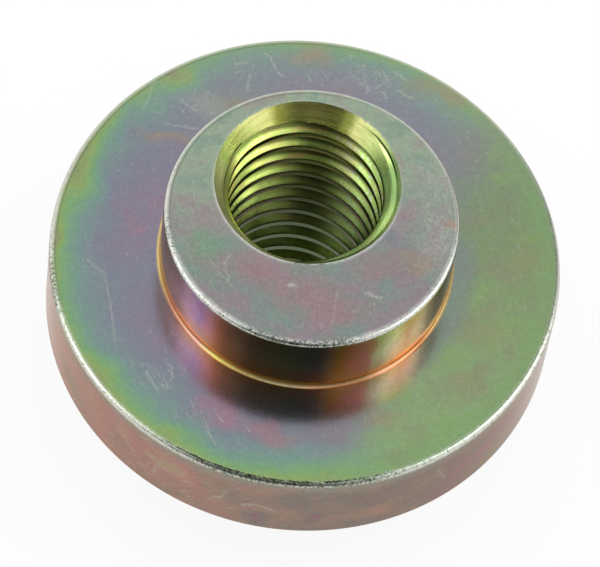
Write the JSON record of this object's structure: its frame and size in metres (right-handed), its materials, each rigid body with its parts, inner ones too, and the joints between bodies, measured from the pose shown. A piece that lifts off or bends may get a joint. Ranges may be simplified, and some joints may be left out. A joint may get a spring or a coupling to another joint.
{
  "type": "eccentric nut",
  "caption": "Turned steel eccentric nut: round flange with a boss, an off-centre tapped hole and a spanner hexagon, yellow zinc plated.",
  "frame": {"origin": "on the axis of the flange and boss, in the end face of the hexagon that the nut stands on", "axes": "+Z along the flange's axis from the hexagon to the boss, +Y from the flange's axis towards the tapped hole's axis"},
  "size_m": [0.04, 0.04, 0.0255],
  "materials": {
    "yellow_zinc": "zinc plate with iridescent yellow passivation, satin gloss, lightly scratched"
  },
  "bodies": {
    "root": {"eccentric_nut": "yellow_zinc"}
  },
  "joints": []
}
